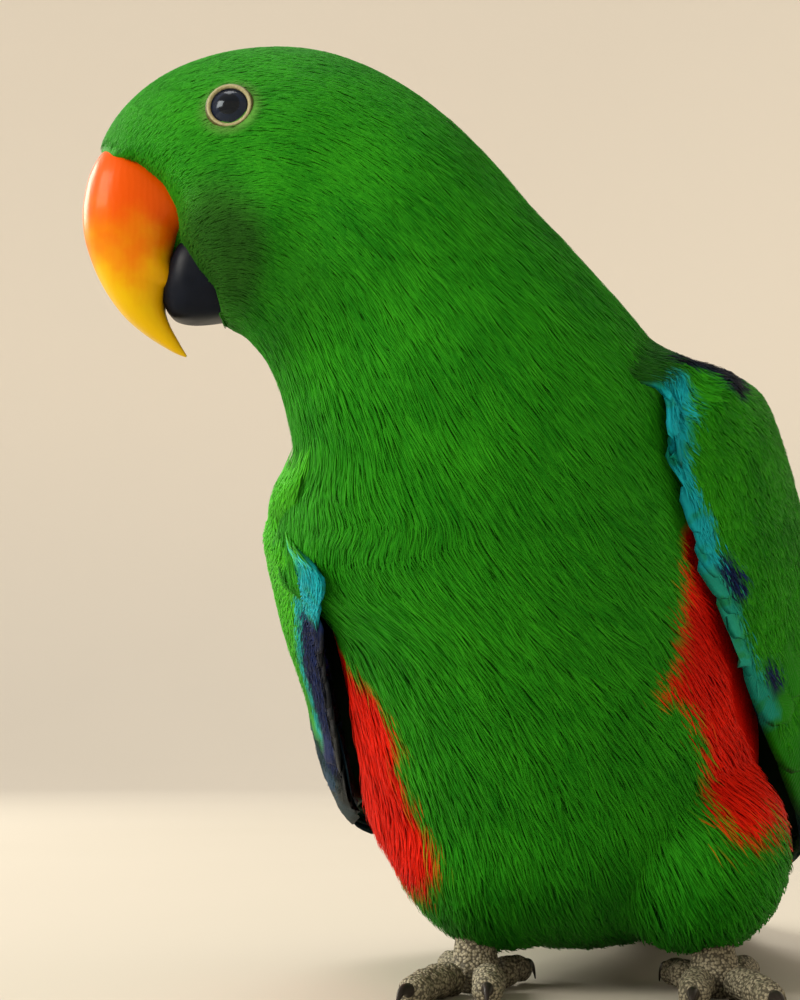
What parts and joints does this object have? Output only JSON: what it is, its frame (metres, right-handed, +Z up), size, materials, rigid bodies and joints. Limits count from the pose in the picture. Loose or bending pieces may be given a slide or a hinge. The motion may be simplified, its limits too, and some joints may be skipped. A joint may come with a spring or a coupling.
{
  "type": "eclectus parrot",
  "caption": "Life-size green male parrot standing upright with its head turned to its right, hooked orange bill, folded wings and a short tail laid on the floor.",
  "frame": {"origin": "on the floor, under the middle of the box round the whole bird", "axes": "+Z up; +Y from the breast to the tail tip; +X to the bird's left"},
  "size_m": [0.1622, 0.2705, 0.1823],
  "materials": {
    "green_plumage": "silky hair-like green feathers, with red on the flanks",
    "wing_plumage": "scaled green covert feathers, turquoise along the front edge",
    "flight_feathers": "smooth navy vanes, black beneath",
    "tail_feathers": "smooth green vanes with a dull yellow tip, black beneath",
    "upper_bill": "waxy horn, coral orange to yellow at the tip",
    "lower_bill": "black horn with a dull shine",
    "eye": "wet dark eye",
    "eyelid": "fine wrinkled skin ring",
    "foot_skin": "grey scaled skin with raised round scutes",
    "claw": "dark horn"
  },
  "bodies": {
    "root": {"head": "green_plumage", "neck": "green_plumage", "breast": "green_plumage", "belly": "green_plumage", "tail_coverts": "green_plumage", "tail": "tail_feathers", "thigh_left": "green_plumage", "thigh_right": "green_plumage", "wing_left_coverts": "wing_plumage", "wing_left_secondaries": "wing_plumage", "wing_left_primaries": "flight_feathers", "wing_right_coverts": "wing_plumage", "wing_right_secondaries": "wing_plumage", "wing_right_primaries": "flight_feathers", "bill_upper": "upper_bill", "bill_lower": "lower_bill", "eye_left": "eye", "eye_right": "eye", "eyelid_left": "eyelid", "eyelid_right": "eyelid", "shank_left": "foot_skin", "shank_right": "foot_skin", "toe_left_inner_front": "foot_skin", "toe_left_outer_front": "foot_skin", "toe_left_inner_hind": "foot_skin", "toe_left_outer_hind": "foot_skin", "toe_right_inner_front": "foot_skin", "toe_right_outer_front": "foot_skin", "toe_right_inner_hind": "foot_skin", "toe_right_outer_hind": "foot_skin", "claw_left_inner_front": "claw", "claw_left_outer_front": "claw", "claw_left_inner_hind": "claw", "claw_left_outer_hind": "claw", "claw_right_inner_front": "claw", "claw_right_outer_front": "claw", "claw_right_inner_hind": "claw", "claw_right_outer_hind": "claw"}
  },
  "joints": []
}
